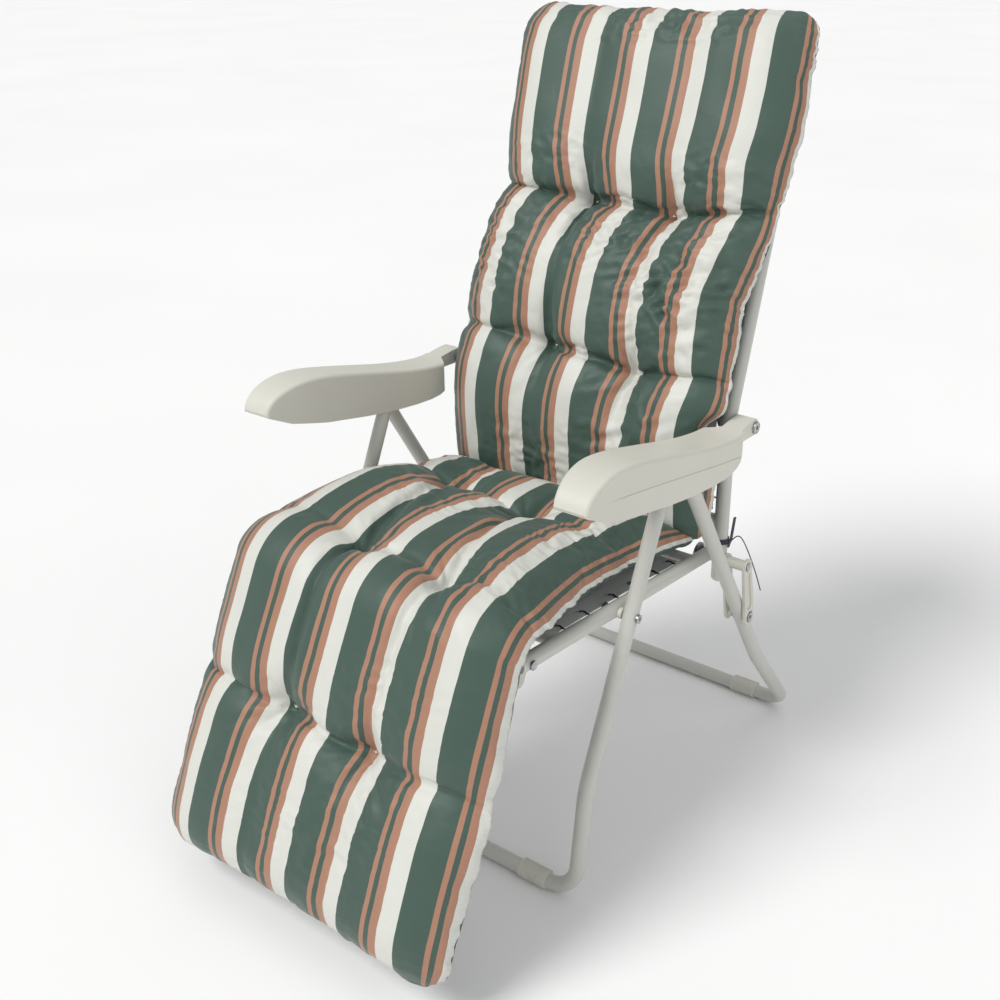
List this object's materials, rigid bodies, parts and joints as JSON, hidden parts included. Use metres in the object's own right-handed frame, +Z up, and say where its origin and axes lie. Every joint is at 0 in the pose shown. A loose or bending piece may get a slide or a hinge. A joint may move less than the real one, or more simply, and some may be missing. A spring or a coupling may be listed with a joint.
{
  "type": "padded folding garden lounger",
  "caption": "Folding padded lounger: crossed tube legs, moulded armrests, high reclining back, hinged footrest, fabric slings and a long tufted striped cushion.",
  "frame": {"origin": "on the floor, at the middle of the chair's footprint with the back upright and the footrest hanging", "axes": "+Z up; the sitter faces -Y; +X is to the sitter's left, across the chair"},
  "size_m": [0.602, 0.9589, 1.1572],
  "materials": {
    "frame_paint": "semi-gloss powder coat",
    "cream_plastic": "satin moulded",
    "fastener_steel": "plated",
    "hook_wire": "dull wire",
    "sling_fabric": "tight woven",
    "cushion_fabric": "striped cotton weave",
    "tie_fabric": "flat tape"
  },
  "bodies": {
    "rear_legs": {"rear_leg_frame": "frame_paint", "rear_leg_caps": "cream_plastic", "rear_foot_sleeves": "cream_plastic", "leg_pivot_bolts": "fastener_steel", "leg_pivot_nuts": "fastener_steel", "leg_pivot_spacers": "cream_plastic"},
    "front_legs": {"front_leg_frame": "frame_paint", "front_leg_caps": "cream_plastic", "front_foot_sleeves": "cream_plastic"},
    "links": {"link_inner_plates": "cream_plastic", "link_outer_plates": "cream_plastic", "link_spacers": "fastener_steel", "link_axles": "fastener_steel", "link_pivot_bolts": "fastener_steel", "link_pivot_nuts": "fastener_steel", "link_pivot_spacers": "cream_plastic"},
    "seat": {"seat_frame": "frame_paint", "seat_rail_caps": "cream_plastic", "seat_sling": "sling_fabric", "seat_hooks": "hook_wire", "cushion_seat": "cushion_fabric", "footrest_bolts": "fastener_steel", "footrest_nuts": "fastener_steel", "seat_pivot_bolts": "fastener_steel", "seat_pivot_nuts": "fastener_steel", "seat_pivot_spacers": "cream_plastic"},
    "back_hinge": {"back_pivot_bolts": "fastener_steel", "back_pivot_washers": "fastener_steel"},
    "backrest": {"backrest_frame": "frame_paint", "backrest_caps": "cream_plastic", "back_sling": "sling_fabric", "back_hooks": "hook_wire", "cushion_back": "cushion_fabric", "tie_bands": "tie_fabric", "tie_strap_ends": "tie_fabric", "tie_ribbon_left": "tie_fabric", "tie_ribbon_right": "tie_fabric"},
    "arm_hinge": {"arm_bolts": "fastener_steel", "arm_nuts": "fastener_steel", "arm_washers": "fastener_steel"},
    "armrests": {"armrest_left": "cream_plastic", "armrest_right": "cream_plastic"},
    "footrest": {"footrest_frame": "frame_paint", "footrest_caps": "cream_plastic", "footrest_sling": "sling_fabric", "footrest_hooks": "hook_wire", "cushion_leg": "cushion_fabric"}
  },
  "joints": [
    {"name": "fold", "type": "hinge", "parent": "rear_legs", "child": "front_legs", "pos_m": [0, 0.0364, 0.594], "axis": [1, 0, 0], "range_deg": [0, 41.78], "deforming": ["cushion_seat", "cushion_back", "tie_bands", "tie_strap_ends", "tie_ribbon_left", "tie_ribbon_right"]},
    {"name": "seat_fold", "type": "hinge", "parent": "front_legs", "child": "seat", "pos_m": [0, -0.0491, 0.4035], "axis": [-1, 0, 0], "range_deg": [0, 70.1]},
    {"name": "link_fold", "type": "hinge", "parent": "rear_legs", "child": "links", "pos_m": [0, 0.2314, 0.2855], "axis": [-1, 0, 0], "range_deg": [0, 122.8]},
    {"name": "back_fold", "type": "hinge", "parent": "seat", "child": "back_hinge", "pos_m": [0, 0.2139, 0.3795], "axis": [1, 0, 0], "range_deg": [0, 50.1]},
    {"name": "recline", "type": "hinge", "parent": "back_hinge", "child": "backrest", "pos_m": [0, 0.2139, 0.3795], "axis": [-1, 0, 0], "range_deg": [0, 49]},
    {"name": "arm_fold", "type": "hinge", "parent": "backrest", "child": "arm_hinge", "pos_m": [0, 0.2164, 0.604], "axis": [-1, 0, 0], "range_deg": [0, 58.8]},
    {"name": "arm_swing", "type": "hinge", "parent": "arm_hinge", "child": "armrests", "pos_m": [0, 0.2164, 0.604], "axis": [1, 0, 0], "range_deg": [0, 39.3]},
    {"name": "footrest_swing", "type": "hinge", "parent": "seat", "child": "footrest", "pos_m": [0, -0.2496, 0.4218], "axis": [-1, 0, 0], "range_deg": [0, 67]}
  ],
  "couplings": [
    {"joint": "seat_fold", "follows": "fold", "ratio": 1.6754},
    {"joint": "link_fold", "follows": "fold", "ratio": 2.9363},
    {"joint": "back_fold", "follows": "fold", "ratio": 1.1967},
    {"joint": "arm_fold", "follows": "fold", "ratio": 1.405},
    {"joint": "arm_swing", "follows": "recline", "ratio": 0.8}
  ]
}
